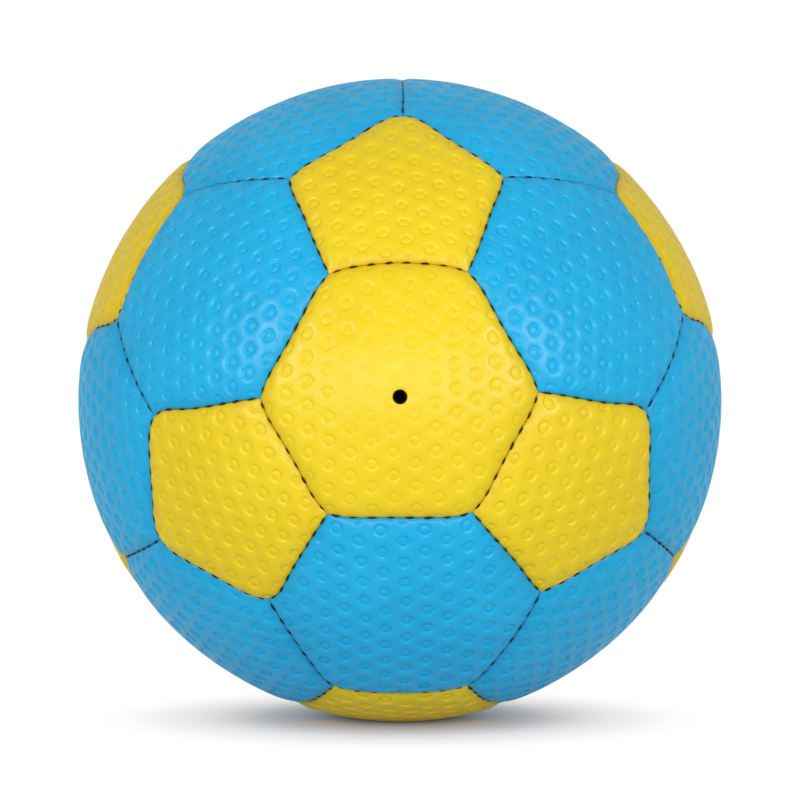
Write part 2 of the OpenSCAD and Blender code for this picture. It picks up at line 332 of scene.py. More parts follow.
def outer_face(panel, centres, pitch, hole):
    """Places and triangles of the outer face, with its outline and its hole's edge."""
    outline = border_row(panel, edge_gap, edge_points)
    rims = [circle(hole_r + step, hole_points, k % 2 / 2) for k, step in enumerate(hole_steps)]
    rows = np.concatenate([border_row(panel, gap, edge_points) for gap in border_gaps])
    clear = nearest_distance(rows, centres) > ring_r + 0.15 * mm
    rows = rows[clear | (seam_distances(panel, rows)[0] < seam_band)]
    circles = [circle(r * mm, count, k % 2 / 2) for k, (r, count) in enumerate(ring_circles)]
    between = [circle(pitch / math.sqrt(3), 6), circle(pitch / 2, 6, 0.5)]
    pattern = np.concatenate(circles + between)
    inside = (centres[:, None, :] + pattern[None, :, :]).reshape(-1, 2)
    inside = inside[seam_distances(panel, inside)[0] > seam_band]
    if hole:
        inside = inside[from_middle(inside) > hole_r + 1.1 * mm]
    given = [outline, *(rims if hole else []), rows, inside]
    places, faces, moved = join(np.concatenate(given))
    outline_ids = [moved[k] for k in range(len(outline))]
    hole_ids = [moved[len(outline) + k] for k in range(hole_points)] if hole else []
    if hole:
        faces = outside_hole(faces, places, hole_r)
    return places, faces, outline_ids, hole_ids


print("Rows of points along each seam:", 1 + len(border_gaps), "with", edge_points, "in each")


# %% [markdown]
# ## The turned-in rim
#
# A panel isn't a thin skin. Its edge is turned down into the seam and ends where the
# lining ends, so each panel is a closed shallow tray: the outer face, a wall, the foot of
# the rim, the inner wall and the underside of the skin.

# %% Close a sheet into a tray
skin_t = 1.2 * mm
cover_t = 3.55 * mm  # skin, glue and lining together
under_step = 5 * mm  # between the points of the inner face
grid_rows = np.arange(-12, 13)  # enough of them to cover a panel


def square_grid(steps):
    """Places at all pairs of these steps."""
    return np.array([(x, y) for x in steps for y in steps])


def strip(first, second):
    """Triangles between two loops of equal length. Going round, the first is on the left."""
    count = len(first)
    made = []
    for k in range(count):
        n = (k + 1) % count
        made += [(first[k], second[k], second[n]), (first[k], second[n], first[n])]
    return made


class Sheet:
    """Places, depths under the crown and triangles of a piece before it is formed."""

    def __init__(self, places, faces, depth=0.0):
        self.places, self.faces = [places], list(faces)
        self.depths, self.count = [np.full(len(places), depth)], len(places)

    def loop(self, places, depth):
        """Adds points and gives their numbers."""
        self.places.append(places)
        self.depths.append(np.full(len(places), depth))
        self.count += len(places)
        return list(range(self.count - len(places), self.count))

    def walls(self, ids, stations):
        """Adds a strip from one station to the next. A station is a row of places and a depth."""
        for places, depth in stations:
            made = self.loop(places, depth)
            self.faces += strip(ids, made)
            ids = made
        return ids

    def underside(self, panel, rim_ids, rim_places, depth, hole_ids, hole_places):
        """Closes the sheet with an inner face that looks at the ball's centre."""
        grid = square_grid(grid_rows * under_step)
        grid = grid[seam_distances(panel, grid)[0] > 4 * mm]
        inner_r = np.hypot(*hole_places[0]) if len(hole_ids) else 0
        if len(hole_ids):
            grid = grid[from_middle(grid) > 2.5 * mm + inner_r]
        given = [rim_places, hole_places, grid] if len(hole_ids) else [rim_places, grid]
        places, faces, moved = join(np.concatenate(given))
        back = {moved[k]: number for k, number in enumerate(list(rim_ids) + list(hole_ids))}
        new = [k for k in range(len(places)) if k not in back]
        back.update(zip(new, self.loop(places[new], depth)))
        kept = outside_hole(faces, places, inner_r)
        self.faces += [(back[c], back[b], back[a]) for a, b, c in kept]


def panel_sheet(panel, centres, pitch):
    """The whole sheet of a panel's skin, and how many of its points are on the outer face."""
    hole = panel.name == "valve_panel"
    places, faces, outline_ids, hole_ids = outer_face(panel, centres, pitch, hole)
    sheet = Sheet(places, faces)
    edge = places[outline_ids]
    foot = border_row(panel, skin_t + edge_gap, edge_points)
    # Down the wall in three steps, inwards along the foot, and up the inner wall
    stations = [(edge, 2.3 * mm), (edge, 2.9 * mm), (edge, cover_t)]
    stations += [(foot, cover_t), (foot, skin_t)]
    rim_ids = sheet.walls(outline_ids, stations)
    hole_places = places[hole_ids] if hole else np.zeros((0, 2))
    if hole:
        back = hole_places[::-1]
        hole_ids = sheet.walls(hole_ids[::-1], [(back, 0.7 * mm), (back, skin_t)])[::-1]
    sheet.underside(panel, rim_ids, foot, skin_t, hole_ids, hole_places)
    return sheet, len(places)


pattern_seed = 5
sheet, _ = panel_sheet(panels[0], *ring_centres(panels[0], random.Random(pattern_seed)))
print("The valve panel's sheet has", sheet.count, "points and", len(sheet.faces), "triangles")

# %% [markdown]
# ## What each point knows
#
# The sheet carries what the forming rule and the materials need: how far each point is
# from its two nearest seams, where it stands along the seam, and how far it is from the
# middle of its ring and from the hole. As attributes they stay with the surface.
#
# A hand doesn't pull all seams alike. At a few places the photograph shows them so tight
# that the panels close over the thread, so the sheet also carries how tight it is.

# %% Say where the seams are tight
# Each spot is (where on the ball, its reach in mm)
tight_spots = [((0, -0.2, 0.98), 26), ((0.62, -0.42, 0.66), 20), ((-0.60, -0.45, 0.66), 18)]


def lengths(vectors):
    """Length of each vector in a table."""
    return np.sqrt((vectors**2).sum(1))


def tightness(directions):
    """1 where the panels close over the thread, 0 where the seam is open."""
    share = np.zeros(len(directions))
    for where, reach in tight_spots:
        apart = ball_r / mm * lengths(directions - np.array(where) / np.linalg.norm(where))
        share = np.maximum(share, np.exp(-((apart / reach) ** 4)))
    return share


print("The seams are tight at", len(tight_spots), "spots")

# %% Store the distances on the sheet's mesh
mould_middle = np.array([-5, 4]) * mm  # of the flatter patch that the valve's mould leaves


def fade(values, start, end):
    """0 up to start, 1 from end on, and smooth between them."""
    t = np.clip((values - start) / (end - start), 0, 1)
    return t * t * (3 - 2 * t)


def new_object(name, data):
    """An object in the scene for a mesh, a lamp or a lens."""
    made = bpy.data.objects.new(name, data)
    bpy.context.scene.collection.objects.link(made)
    return made


def sheet_object(panel, chance):
    """The sheet as a mesh object that carries its distances."""
    centres, pitch = ring_centres(panel, chance)
    sheet, outer_count = panel_sheet(panel, centres, pitch)
    places, depth = np.concatenate(sheet.places), np.concatenate(sheet.depths)
    first, second, stitch = seam_distances(panel, places)
    far = from_middle(places)
    hole = panel.name == "valve_panel"
    # The rings are pressed flatter near the seams, and around the valve by its mould
    ring_share = fade(first, 0.3 * mm, 2.2 * mm)
    if hole:
        from_mould = from_middle(places - mould_middle)
        ring_share = ring_share * (0.12 + 0.55 * fade(from_mould, 10 * mm, 20 * mm))
    mesh = bpy.data.meshes.new(panel.name + "_sheet")
    corners = np.column_stack((places, np.zeros(len(places))))
    mesh.from_pydata(corners.tolist(), [], sheet.faces)
    for name, values in {
        "seam_gap": first,
        "second_gap": second,
        "stitch_place": stitch,
        "ring_gap": nearest_distance(places, centres),
        "ring_share": ring_share,
        "hole_gap": far - hole_r if hole else far + ball_r,
        "tight": tightness(on_ball(places) @ np.array(panel.turned).T),
        "depth": depth,
        "outer": np.arange(len(places)) < outer_count,
    }.items():
        attribute = mesh.attributes.new(name, "FLOAT", "POINT")
        attribute.data.foreach_set("value", values.astype(np.float32))
    return new_object(panel.name + "_sheet", mesh)


# %% [markdown]
# ## A helper for node trees
#
# Geometry and material trees are written as steps. Each step makes one node, fills its
# sockets with numbers or with earlier steps, and gives back its output.

# %% Write a node tree in steps
class Steps:
    """Adds nodes to a tree, one step at a time."""

    def __init__(self, tree):
        self.tree = tree

    def node(self, kind, inputs=None, **settings):
        made = self.tree.nodes.new(kind)
        for name, value in settings.items():
            setattr(made, name, value)
        for name, value in (inputs or {}).items():
            self.fill(made.inputs[name], value)
        return made

    def fill(self, socket, value):
        if isinstance(value, bpy.types.NodeSocket):
            self.tree.links.new(value, socket)
        else:
            socket.default_value = value

    def math(self, operation, *values, clamp=False):
        sockets = dict(enumerate(values))
        return self.node("ShaderNodeMath", sockets, operation=operation, use_clamp=clamp).outputs[0]

    def vector(self, operation, *values):
        made = self.node("ShaderNodeVectorMath", dict(enumerate(values)), operation=operation)
        return made.outputs["Value" if operation in ("LENGTH", "DOT_PRODUCT") else "Vector"]

    def scaled(self, vector, factor):
        sockets = {0: vector, "Scale": factor}
        return self.node("ShaderNodeVectorMath", sockets, operation="SCALE").outputs[0]

    def xyz(self, x, y, z):
        return self.node("ShaderNodeCombineXYZ", {0: x, 1: y, 2: z}).outputs[0]

    def noise(self, place, scale, detail, **more):
        sockets = {"Vector": place, "Scale": scale, "Detail": detail, **more}
        return self.node("ShaderNodeTexNoise", sockets).outputs[0]

    def ranged(self, value, low, high, at_low=0.0, at_high=1.0):
        """Turns low into at_low and high into at_high, and stays level outside them."""
        sockets = {"Value": value, "From Min": low, "From Max": high}
        sockets.update({"To Min": at_low, "To Max": at_high})
        return self.node("ShaderNodeMapRange", sockets).outputs[0]

    def bump(self, height, strength, distance, **more):
        sockets = {"Height": height, "Strength": strength, "Distance": distance, **more}
        return self.node("ShaderNodeBump", sockets).outputs[0]

    def principled(self, sockets):
        """Ends a material with a Principled surface."""
        surface = self.node("ShaderNodeBsdfPrincipled", sockets).outputs[0]
        self.node("ShaderNodeOutputMaterial", {"Surface": surface})

    def curve(self, value, points):
        """Reads a curve drawn through points. Both of its axes run from 0 to 1."""
        made = self.node("ShaderNodeFloatCurve", {"Value": value})
        curve = made.mapping.curves[0]
        curve.points[0].location, curve.points[1].location = points[0], points[-1]
        for x, y in points[1:-1]:
            curve.points.new(x, y)
        made.mapping.update()
        return made.outputs["Value"]


def set_input(modifier, name, value):
    """Sets a Geometry Nodes input by the identifier of the socket with this name."""
    for item in modifier.node_group.interface.items_tree:
        if item.item_type == "SOCKET" and item.in_out == "INPUT" and item.name == name:
            modifier[item.identifier] = value
            return
    raise KeyError(name)


def new_tree(name, inputs):
    """A Geometry Nodes tree with these inputs, as {name: (kind, value)}, and its steps."""
    tree = bpy.data.node_groups.new(name, "GeometryNodeTree")
    tree.interface.new_socket("Geometry", in_out="INPUT", socket_type="NodeSocketGeometry")
    for socket_name, (kind, value) in inputs.items():
        kind = "NodeSocket" + kind
        socket = tree.interface.new_socket(socket_name, in_out="INPUT", socket_type=kind)
        if value is not None:
            socket.default_value = value
    tree.interface.new_socket("Geometry", in_out="OUTPUT", socket_type="NodeSocketGeometry")
    steps = Steps(tree)
    return tree, steps, steps.node("NodeGroupInput").outputs


print("Steps can add:", ", ".join(name for name in vars(Steps) if not name.startswith("_")))


# %% [markdown]
# ## The rule that forms a panel
#
# One Geometry Nodes tree forms all panels. It wraps the sheet on the ball and then changes
# only the height of each point. The edge rolls down into the seam, the thread draws it in
# at each stitch, fine wrinkles run off from there, each ring gets its groove, and the
# whole panel is a little uneven, as a hand-sewn one is.
#
# The two nearest seams are combined as 1 - (1 - a)(1 - b). With only the nearest one, each
# corner would get a sharp crease.

# %% Draw the profiles of a seam and of a ring
# How far the leather is down, over the share of the groove's width
roll_curve = [
    (0, 1), (0.015, 0.88), (0.04, 0.75), (0.08, 0.61), (0.15, 0.45),
    (0.25, 0.29), (0.38, 0.16), (0.55, 0.065), (0.75, 0.016), (1, 0),
]
# How high it stands, over the share of the ring's reach
ring_curve = [
    (0, 0.56), (0.3, 0.54), (0.42, 0.42), (0.53, 0.2), (0.63, 0.03), (0.68, 0),
    (0.73, 0.1), (0.8, 0.5), (0.865, 0.86), (0.92, 0.97), (1, 1),
]
print("Points in the two profiles:", len(roll_curve), "and", len(ring_curve))

# %% Build the tree that forms a panel
def panel_tree():
    tree, do, given = new_tree("form_panel", {
        "Ball radius": ("Float", ball_r),
        "Groove depth": ("Float", 1.5 * mm),
        "Groove width": ("Float", 8 * mm),
        "Stitch pull": ("Float", 0.4 * mm),
        "Wrinkle height": ("Float", 0.4 * mm),
        "Ring depth": ("Float", 0.42 * mm),
        "Unevenness": ("Float", 0.25 * mm),
        "Seed": ("Float", 0.0),
        "Leather": ("Material", None),
        "Hole edge": ("Material", None),
    })

    def read(name):
        sockets = {"Name": name}
        made = do.node("GeometryNodeInputNamedAttribute", sockets, data_type="FLOAT")
        return made.outputs["Attribute"]

    def dying_out(distance, reach):
        return do.math("EXPONENT", do.math("DIVIDE", distance, -reach))

    # The direction of the point on the ball
    place = do.node("GeometryNodeInputPosition").outputs[0]
    angle = do.math("DIVIDE", do.vector("LENGTH", place), given["Ball radius"])
    across = do.scaled(do.vector("NORMALIZE", place), do.math("SINE", angle))
    split = do.node("ShaderNodeSeparateXYZ", {0: across}).outputs
    direction = do.xyz(split[0], split[1], do.math("COSINE", angle))

    # The groove of the two nearest seams, narrower and shallower where they are tight
    gap, second, tight = read("seam_gap"), read("second_gap"), read("tight")
    narrower = do.math("MULTIPLY_ADD", tight, -0.5, 1.0)
    width = do.math("MULTIPLY", given["Groove width"], narrower)
    near = do.curve(do.math("DIVIDE", gap, width), roll_curve)
    beside = do.curve(do.math("DIVIDE", second, width), roll_curve)
    level = do.math("SUBTRACT", 1.0, near)
    both = do.math("MULTIPLY", level, do.math("SUBTRACT", 1.0, beside))
    groove = do.math("MULTIPLY", do.math("SUBTRACT", 1.0, both), given["Groove depth"])
    groove = do.math("MULTIPLY", groove, do.math("MULTIPLY_ADD", tight, -0.45, 1.0))

    # The pull of the thread, strongest at each stitch and gone at the corners
    stitch = read("stitch_place")
    wave = do.math("COSINE", do.math("MULTIPLY", stitch, 2 * math.pi))
    apart = do.math("MULTIPLY", do.math("SUBTRACT", second, gap), 1 / (3 * mm), clamp=True)
    at_edge = do.math("MULTIPLY", apart, dying_out(gap, 0.9 * mm))
    pull = do.math("MULTIPLY", do.math("MULTIPLY_ADD", wave, -0.5, 0.5), at_edge)
    pull = do.math("MULTIPLY", pull, given["Stitch pull"])

    # Wrinkles that run off from the seam
    along = do.math("MULTIPLY", stitch, 1.1)
    line = do.xyz(along, do.math("MULTIPLY", gap, 110.0), given["Seed"])
    folds = do.noise(line, 1.0, 2.0, Roughness=0.5)
    off_edge = do.math("MULTIPLY", apart, dying_out(gap, 3.2 * mm))
    wrinkle_size = do.math("MULTIPLY", off_edge, given["Wrinkle height"])
    wrinkle = do.math("MULTIPLY", do.math("SUBTRACT", folds, 0.5), wrinkle_size)

    # The groove of the ring
    pressed = do.curve(do.math("DIVIDE", read("ring_gap"), ring_r), ring_curve)
    pressed = do.math("SUBTRACT", pressed, 1.0)
    pressed = do.math("MULTIPLY", pressed, read("ring_share"))
    pressed = do.math("MULTIPLY", pressed, given["Ring depth"])

    # The slow unevenness of the panel, and the bevel of the hole
    sockets = {"Vector": direction, "W": given["Seed"], "Scale": 4.5, "Detail": 2.0}
    soft = do.node("ShaderNodeTexNoise", sockets, noise_dimensions="4D").outputs[0]
    both_ways = do.math("MULTIPLY", given["Unevenness"], 2.0)
    soft = do.math("MULTIPLY", do.math("SUBTRACT", soft, 0.5), both_ways)
    soft = do.math("MULTIPLY", soft, level)
    bevel = do.math("MULTIPLY", dying_out(read("hole_gap"), 0.22 * mm), 0.3 * mm)

    height = do.math("SUBTRACT", do.math("ADD", pressed, wrinkle), do.math("ADD", groove, pull))
    height = do.math("SUBTRACT", do.math("ADD", height, soft), bevel)
    height = do.math("SUBTRACT", do.math("MULTIPLY", height, read("outer")), read("depth"))
    formed = do.scaled(direction, do.math("ADD", given["Ball radius"], height))
    sockets = {"Geometry": given["Geometry"], "Position": formed}
    moved = do.node("GeometryNodeSetPosition", sockets).outputs[0]
    smooth = do.node("GeometryNodeSetShadeSmooth", {"Geometry": moved}).outputs[0]
    real = do.node("GeometryNodeRealizeInstances", {"Geometry": smooth}).outputs[0]
    sockets = {"Geometry": real, "Material": given["Leather"]}
    skinned = do.node("GeometryNodeSetMaterial", sockets).outputs[0]
    # The wall of the needle hole gets the black valve rubber: painted shade in the hole
    in_hole = do.math("LESS_THAN", read("hole_gap"), 0.03 * mm)
    sockets = {"Geometry": skinned, "Selection": in_hole, "Material": given["Hole edge"]}
    done = do.node("GeometryNodeSetMaterial", sockets).outputs[0]
    do.node("NodeGroupOutput", {0: done})
    return tree


panel_rule = panel_tree()
print("The forming rule has", len(panel_rule.nodes), "nodes")

# %% [markdown]
# ## Seams that aren't perfect
#
# Leather gives and a hand pulls unevenly, so no seam of a sewn ball follows the exact net.
# A few wide pulls move the seams in sight to where the photograph shows them, mostly by
# up to 3 mm and by 8 mm at the very top. Slow waves from a fixed seed do the same to the
# rest by less. Panels and thread go through the same function, so they stay together. The
# valve doesn't move.
#
# Where three panels meet, one keeps a round corner: its two seams run into each other in a
# bend, and the third seam ends against it. On the photographed side that is the valve panel
# at its own corners, the hexagon under it at the lowest pentagon, and elsewhere the
# pentagon. The bend leaves the corner where it is and pushes the seams beside it outwards.

# %% Find the corners of the net and the round panel at each
def side_by_side(a, b):
    """Whether two panels share a seam: their middles are two edge angles apart."""
    apart = outward[a.name].angle(outward[b.name])
    return abs(apart - edge_angle(a.sides) - edge_angle(b.sides)) < math.radians(1)


def round_one(trio):
    """The panel with the round corner. The pentagon is the last of the three."""
    if trio[2] is lowest_pentagon:
        trio = sorted(trio, key=lambda panel: outward[panel.name].y)
        return trio[0] if trio[0].name == "hexagon_panel_02" else lowest_pentagon
    return trio[0] if trio[0].name == "valve_panel" else trio[2]


lowest_pentagon = min(panels, key=lambda panel: outward[panel.name].z if panel.sides == 5 else 0)
pentagon_bend, hexagon_bend = 1.3, 0.7  # how far the seams beside a corner are pushed, in mm
# Corners in sight with another bend, as (where on the ball, push in mm)
odd_bends = [
    ((0, -0.50, 0.87), 1.9),
    ((0, -0.15, 0.99), 0.0),
    ((0.34, -0.64, 0.69), 0.7),
    ((-0.34, -0.64, 0.69), 0.7),
    ((0.43, -0.66, -0.62), 0.5),
]
bend_reach = 6 * mm
same_corner = 0.985  # cosine of the angle within which a stated place means a corner
corner_bends = []
for trio in combinations(panels, 3):
    if all(side_by_side(a, b) for a, b in combinations(trio, 2)):
        reaches = [math.sqrt(1 - (0.5 / math.sin(math.pi / p.sides) / net_r) ** 2) for p in trio]
        corner = np.linalg.solve(np.array([outward[p.name] for p in trio]), reaches)
        kept = round_one(trio)
        away = corner - np.array(outward[kept.name])
        away -= (away @ corner) * corner
        usual = pentagon_bend if kept.sides == 5 else hexagon_bend
        given = (size for where, size in odd_bends if corner @ np.array(where) > same_corner)
        push = next(given, usual)
        corner_bends.append((corner, away / np.linalg.norm(away) * push * mm))
print("The net has", len(corner_bends), "corners")

# %% Move points along the ball to the real course of the seams
# Each pull is (where on the ball, how far in mm, and over what radius in mm)
seam_pulls = [
    ((0.55, -0.70, -0.46), (1.3, -4.9, 2.8), 30),
    ((-0.35, -0.66, -0.66), (2.0, -2.3, 2.2), 22),
    ((-0.80, -0.55, 0.20), (0.3, -1.1, -2.1), 28),
    ((0.00, -0.62, 0.78), (0.3, -3.0, -0.7), 26),
    ((0.36, -0.70, 0.62), (-1.7, -1.0, 0.0), 14),
    ((-0.76, -0.50, -0.42), (1.6, -1.7, -0.7), 16),
    ((-0.20, -0.91, -0.35), (-1.3, 0.0, 1.1), 14),
    ((0.36, -0.92, 0.05), (-0.7, 0.1, 0.5), 16),
    ((0.00, -0.93, 0.36), (-0.2, 0.6, 2.8), 11),
    ((0.00, -0.15, 0.99), (0.0, 8.5, 0.0), 15),
    ((0.00, -0.50, 0.87), (0.3, 2.2, 1.4), 12),
]
wave_chance = random.Random(32)
wave_size = 0.13 * mm


def slow_wave():
    """A wave over the ball: its push, its run and where it starts."""
    push = [wave_chance.gauss(0, 1) for _ in range(3)]
    run = [wave_chance.gauss(0, 3.2) for _ in range(3)]
    return push, run, wave_chance.uniform(0, 6)


seam_waves = [slow_wave() for _ in range(14)]


def settle(points):
    """Moves points along the ball, without changing their distance from its centre."""
    far = lengths(points)[:, None]
    d = points / far
    shift = np.zeros_like(d)
    for where, pull, reach in seam_pulls:
        where = np.array(where) / np.linalg.norm(where)
        apart = ball_r / mm * lengths(d - where)[:, None]
        shift += np.exp(-((apart / reach) ** 2) / 2) * np.array(pull) * mm
    for corner, push in corner_bends:
        apart = ball_r / bend_reach * lengths(d - corner)[:, None]
        shift += apart * np.exp((1 - apart**2) / 2) * push
    for push, run, start in seam_waves:
        shift += wave_size * np.array(push) * np.sin(d @ np.array(run) + start)[:, None]
    from_valve = ball_r * lengths(d - np.array([0, -1, 0]))
    shift *= fade(from_valve, 6 * mm, 26 * mm)[:, None]
    shift -= (shift * d).sum(1)[:, None] * d
    d = d + shift / ball_r
    return far * d / lengths(d)[:, None]


corners = np.array([[math.sin(a), -math.cos(a), 0.2] for a in (0.5, 1.5, 2.5, 3.5)])
corners *= ball_r / lengths(corners)[:, None]
print("Four points move by", np.round(lengths(settle(corners) - corners) / mm, 2), "mm")

# %% [markdown]
# ## The leather
#
# Both colours are the same soft synthetic leather: a matt coloured skin under a thin clear
# finish. The clear finish is the shader's coat, so the skin below it can stay dull. Three
# things make it read as leather and not as plastic: a fine grain, a slow change of tone
# and gloss over each panel, and darker edges where the skin folds into the seam. That
# darkening is painted shade, and the grooves of the rings get a little painted shade too.
# The press has flattened the skin inside the rings, so it shines less there.

# %% Make the leather in a colour
def new_material(name):
    material = bpy.data.materials.new(name)
    material.use_nodes = True
    material.node_tree.nodes.clear()
    return material, Steps(material.node_tree)


def shade(do, low, high, factor):
    """A colour between two, each of them three numbers or an earlier step."""
    made = do.node("ShaderNodeMix", {"Factor": factor}, data_type="RGBA")
    for socket_name, colour in (("A", low), ("B", high)):
        do.fill(made.inputs[socket_name], (*colour, 1) if isinstance(colour, tuple) else colour)
    return made.outputs["Result"]


# How much shade is painted into the colour near a seam, over the share of 4.5 mm
seam_shade_curve = [(0, 0.6), (0.04, 0.42), (0.1, 0.28), (0.3, 0.15), (0.6, 0.06), (1, 0)]


def leather(name, colour, shade_and_wear_colour, pale):
    """Satin synthetic leather. Its second colour is what seams and ring grooves darken to as
    painted shade, and the worn grain too; pale is the light end of its slow tone.
    """
    material, do = new_material(name)
    place = do.node("ShaderNodeTexCoord").outputs["Object"]
    seam = do.node("ShaderNodeAttribute", attribute_name="seam_gap").outputs["Fac"]
    ring = do.node("ShaderNodeAttribute", attribute_name="ring_gap").outputs["Fac"]
    tone = do.ranged(do.noise(place, 38.0, 3.0), 0.32, 0.68)
    grain = do.noise(place, 1700.0, 3.0, Roughness=0.65)
    sockets = {"Vector": place, "Scale": 2300.0}
    pores = do.node("ShaderNodeTexVoronoi", sockets, feature="SMOOTH_F1").outputs["Distance"]
    creases = do.noise(place, 330.0, 3.0, Roughness=0.55, Distortion=1.0)

    # Painted shade in the seams and in the grooves of the rings, and darker worn grain
    worn = do.math("MULTIPLY", do.math("SUBTRACT", grain, 0.5), 0.18)
    painted_seam_shade = do.curve(do.math("DIVIDE", seam, 4.5 * mm), seam_shade_curve)
    off_groove = do.math("ABSOLUTE", do.math("SUBTRACT", ring, 1.55 * mm))
    sunk = do.ranged(off_groove, 0.0, 0.35 * mm, 0.1, 0.0)
    painted_shade_and_wear = do.math("ADD", do.math("ADD", painted_seam_shade, sunk), worn, clamp=True)
    tint = shade(do, shade(do, colour, pale, tone), shade_and_wear_colour, painted_shade_and_wear)

    # The dull skin has grain and creases, and the clear finish over it only the creases
    dull = do.ranged(creases, 0.3, 0.7, 0.45, 0.6)
    height = do.math("MULTIPLY_ADD", pores, 0.35, do.math("MULTIPLY", grain, 0.5))
    folded = do.bump(creases, 0.5, 0.12 * mm, Normal=do.bump(height, 0.4, 0.03 * mm))
    film = do.bump(creases, 0.5, 0.14 * mm)
    share = do.ranged(creases, 0.3, 0.7, 0.32, 0.18)
    share = do.math("MULTIPLY", share, do.ranged(ring, 1.3 * mm, 1.6 * mm, 0.75, 1.0))
    do.principled({
        "Base Color": tint, "Roughness": dull, "Normal": folded, "Specular IOR Level": 0.03,
        "Coat Weight": share, "Coat Roughness": 0.27, "Coat IOR": 1.9, "Coat Normal": film,
    })
    return material


# The second colour of each is painted shade for the seams and ring grooves, and the worn grain
yellow = leather("yellow_leather", (0.87, 0.63, 0.008), (0.48, 0.25, 0.006), (0.91, 0.68, 0.012))
blue = leather("blue_leather", (0.005, 0.43, 0.78), (0.003, 0.20, 0.42), (0.008, 0.475, 0.85))
print("Leathers:", yellow.name, "and", blue.name)

# %% [markdown]
# The wall of the needle hole is cut leather, but it gets the black rubber of the valve as
# painted shade, so the hole looks as dark as its shadowed depth. The same rubber serves the
# valve itself.

# %% Make the rubber
def rubber(name, colour, roughness):
    """Moulded rubber: nearly matt, with a fine powdery bloom."""
    material, do = new_material(name)
    place = do.node("ShaderNodeTexCoord").outputs["Object"]
    bloom = do.noise(place, 260.0, 5.0)
    tone = shade(do, colour, tuple(2.5 * c for c in colour), bloom)
    bump = do.bump(do.noise(place, 2400.0, 2.0), 0.4, 0.03 * mm)
    rough = do.math("MULTIPLY_ADD", bloom, 0.2, roughness - 0.1)
    do.principled({
        "Base Color": tone, "Roughness": rough, "Normal": bump, "Specular IOR Level": 0.08,
    })
    return material


valve_rubber = rubber("valve_rubber", (0.003, 0.003, 0.0035), 0.7)
bladder_rubber = rubber("bladder_rubber", (0.02, 0.018, 0.017), 0.7)
print("Rubbers:", valve_rubber.name, "and", bladder_rubber.name)

# %% [markdown]
# ## Thirty-two panels
#
# Each sheet goes through the forming rule, is turned to where its CAD node looks, and
# settles with its seams. The result replaces the node. The pentagons are yellow and the
# hexagons blue, apart from the valve panel and the one opposite it.

# %% Form the panels
def plain_mesh(source, name):
    """The evaluated mesh of an object, free of its modifiers."""
    state = bpy.context.evaluated_depsgraph_get()
    mesh = bpy.data.meshes.new_from_object(
        source.evaluated_get(state), preserve_all_data_layers=True, depsgraph=state
    )
    mesh.name = name
    return mesh


def place_on_ball(mesh, turned):
    """Turns a mesh from a panel's axes to the ball's and settles it along the ball."""
    points = np.zeros(3 * len(mesh.vertices), np.float32)
    mesh.vertices.foreach_get("co", points)
    points = points.reshape(-1, 3).astype(float) @ np.array(turned).T
    mesh.vertices.foreach_set("co", settle(points).astype(np.float32).ravel())
    mesh.update()


def keep(mesh, slot, *node_names):
    """A finished piece: it rides on the ball and stands for these CAD nodes."""
    piece = new_object(mesh.name, mesh)
    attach(piece, "root")
    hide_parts(*node_names)
    return piece


def form(source, tree, inputs, name):
    """Runs a sheet or a line through a tree and gives the plain mesh."""
    modifier = source.modifiers.new("form", "NODES")
    modifier.node_group = tree
    for key, value in inputs.items():
        set_input(modifier, key, value)
    mesh = plain_mesh(source, name)
    bpy.data.objects.remove(source)
    return mesh


pattern_chance = random.Random(pattern_seed)
yellow_hexagons = ("valve_panel", "hexagon_panel_19")
leather_faces = 0
for number, panel in enumerate(panels):
    is_yellow = panel.sides == 5 or panel.name in yellow_hexagons
    skin = yellow if is_yellow else blue
    inputs = {"Seed": float(number) * 3.7, "Leather": skin, "Hole edge": valve_rubber}
    mesh = form(sheet_object(panel, pattern_chance), panel_rule, inputs, panel.name + "_leather")
    place_on_ball(mesh, panel.turned)
    keep(mesh, "yellow_skin" if is_yellow else "blue_skin", panel.name)
    leather_faces += len(mesh.polygons)
print("Triangles in all panels:", leather_faces)

# %% [markdown]
# ## The linings
#
# Behind each skin lies a laminate of cloth and foam that keeps the ball round. It fills the
# tray up to the turned-in rim. A weave follows the piece it was cut from, so each point
# keeps its place on the flat cut as an attribute. On Object coordinates the threads would
# run straight through the ball, like the grain of a block of wood.

# %% Weave a cloth
def cloth(name, warp, weft, pitch):
    """Plain weave with its threads pitch apart, drawn on the attribute cut."""
    material, do = new_material(name)
    cut = do.node("ShaderNodeAttribute", attribute_name="cut").outputs["Vector"]
    x, y, _ = do.node("ShaderNodeSeparateXYZ", {0: cut}).outputs
    fibre = do.noise(cut, 2200.0, 3.0)
    across = do.math("SINE", do.math("MULTIPLY", x, math.pi / pitch))
    down = do.math("SINE", do.math("MULTIPLY", y, math.pi / pitch))
    over = do.math("MULTIPLY", across, down)
    top = do.ranged(over, -0.15, 0.15)
    glue = do.ranged(do.noise(cut, 90.0, 4.0), 0.5, 0.75, 0.0, 0.6)
    tone = shade(do, shade(do, weft, warp, top), tuple(0.55 * c for c in warp), glue)
    fuzz = do.math("MULTIPLY", fibre, 0.3)
    height = do.math("MULTIPLY_ADD", do.math("ABSOLUTE", over), 0.7, fuzz)
    bump = do.bump(height, 0.8, 0.12 * mm)
    rough = do.math("MULTIPLY_ADD", glue, -0.4, 0.92)
    do.principled({"Base Color": tone, "Normal": bump, "Roughness": rough, "Sheen Weight": 0.25})
    return material


lining_cloth = cloth("lining_cloth", (0.62, 0.60, 0.54), (0.50, 0.48, 0.43), 0.55 * mm)
patch_cloth = cloth("patch_cloth", (0.30, 0.30, 0.31), (0.22, 0.22, 0.23), 0.4 * mm)
print("Cloths:", lining_cloth.name, "and", patch_cloth.name)

# %% [markdown]
# The linings, the patch and the bladder are all sheets with a place and a depth for each
# point, so one helper lays them in the ball. A lining ends 1.4 mm from the seam, where the
# rim of the skin begins. The one behind the valve has a hole for the valve's collar and a
# recess that is as deep as the patch, so nothing bulges there.

